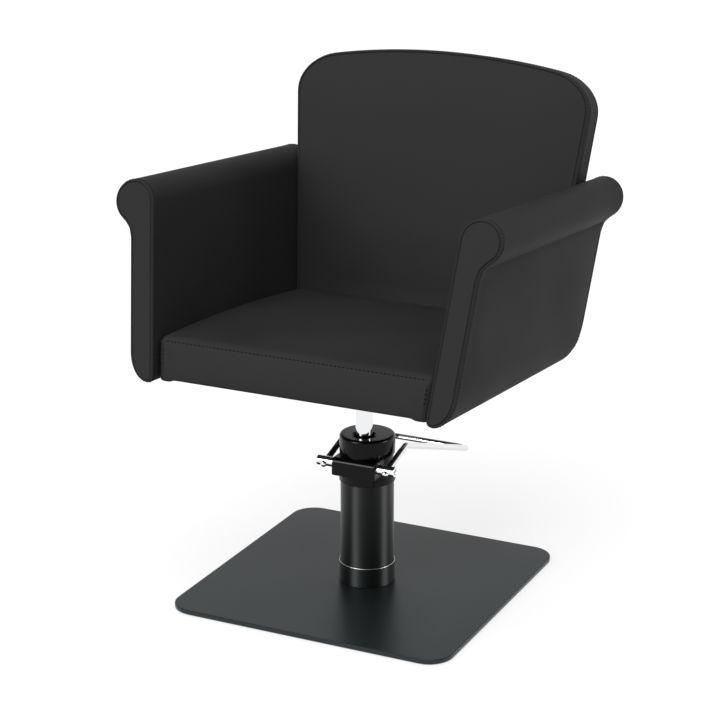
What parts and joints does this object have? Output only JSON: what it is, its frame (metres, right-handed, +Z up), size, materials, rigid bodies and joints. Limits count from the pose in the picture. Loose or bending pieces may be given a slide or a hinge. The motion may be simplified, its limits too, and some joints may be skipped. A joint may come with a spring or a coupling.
{
  "type": "hairdressing chair",
  "caption": "Upholstered styling chair with rolled arms on a square base plate; a pedal-worked hydraulic column lifts the seat, which turns freely.",
  "frame": {"origin": "on the floor, under the centre of the square base plate", "axes": "+Z up, -Y towards the front of the chair, +X to the right of someone who faces it"},
  "size_m": [0.658, 0.6373, 0.8626],
  "materials": {
    "powder_coat": "fine satin powder coat, near black",
    "gloss_black": "gloss black",
    "chrome": "polished",
    "zinc_steel": "zinc plated",
    "bronze": "turned, darkened by oil",
    "black_rubber": "matt",
    "plywood": "dark stain",
    "leatherette": "leatherette, a coated fabric over foam, fine-grained satin black"
  },
  "bodies": {
    "base": {"floor_mat": "black_rubber", "base_plate": "powder_coat", "base_socket": "powder_coat", "socket_screw_1": "zinc_steel", "socket_screw_2": "zinc_steel", "socket_screw_3": "zinc_steel", "socket_screw_4": "zinc_steel", "pump_cylinder": "powder_coat", "ram_tube": "zinc_steel", "clamp_ring": "gloss_black", "pump_head": "gloss_black", "pump_cap": "gloss_black", "wiper_seal": "black_rubber", "guide_bush": "bronze", "axle_bush_left": "bronze", "axle_bush_right": "bronze", "plunger_barrel": "zinc_steel"},
    "lever": {"lever_axle": "chrome", "pedal_lever": "chrome", "set_screw_left": "zinc_steel", "set_screw_right": "zinc_steel", "cam_finger": "zinc_steel"},
    "plunger": {"pump_plunger": "zinc_steel"},
    "lift": {"ram_piston": "zinc_steel", "piston_seal": "black_rubber"},
    "seat": {"piston_rod": "chrome", "seat_hub": "powder_coat", "mount_plate": "powder_coat", "mount_screw_1": "zinc_steel", "mount_screw_2": "zinc_steel", "mount_screw_3": "zinc_steel", "mount_screw_4": "zinc_steel", "seat_board": "plywood", "seat_rail_left": "plywood", "seat_rail_right": "plywood", "seat_cushion": "leatherette", "arm_core_left": "plywood", "arm_core_right": "plywood", "arm_pad_left": "leatherette", "arm_pad_right": "leatherette", "arm_bolt_left_1": "zinc_steel", "arm_bolt_left_2": "zinc_steel", "arm_bolt_right_1": "zinc_steel", "arm_bolt_right_2": "zinc_steel", "back_board": "plywood", "back_pad": "leatherette", "back_strap_left": "zinc_steel", "back_strap_right": "zinc_steel", "strap_screw_left_1": "zinc_steel", "strap_screw_left_2": "zinc_steel", "strap_screw_left_3": "zinc_steel", "strap_screw_left_4": "zinc_steel", "strap_screw_right_1": "zinc_steel", "strap_screw_right_2": "zinc_steel", "strap_screw_right_3": "zinc_steel", "strap_screw_right_4": "zinc_steel"}
  },
  "joints": [
    {"name": "pedal_hinge", "type": "hinge", "parent": "base", "child": "lever", "pos_m": [0, -0.042, 0.2271], "axis": [1, 0, 0], "range_deg": [-20, 0], "stiffness_Nm_per_rad": 6, "springref_deg": 14.32},
    {"name": "plunger_slide", "type": "slide", "parent": "base", "child": "plunger", "axis": [0, 0, 1], "range_m": [-0.0072, 0]},
    {"name": "seat_lift", "type": "slide", "parent": "base", "child": "lift", "axis": [0, 0, 1], "range_m": [0, 0.14]},
    {"name": "seat_swivel", "type": "hinge", "parent": "lift", "child": "seat", "pos_m": [0, -0.012, 0.3932], "axis": [0, 0, 1], "continuous": true}
  ],
  "couplings": [
    {"joint": "plunger_slide", "follows": "pedal_hinge", "m_per_rad": 0.02}
  ]
}
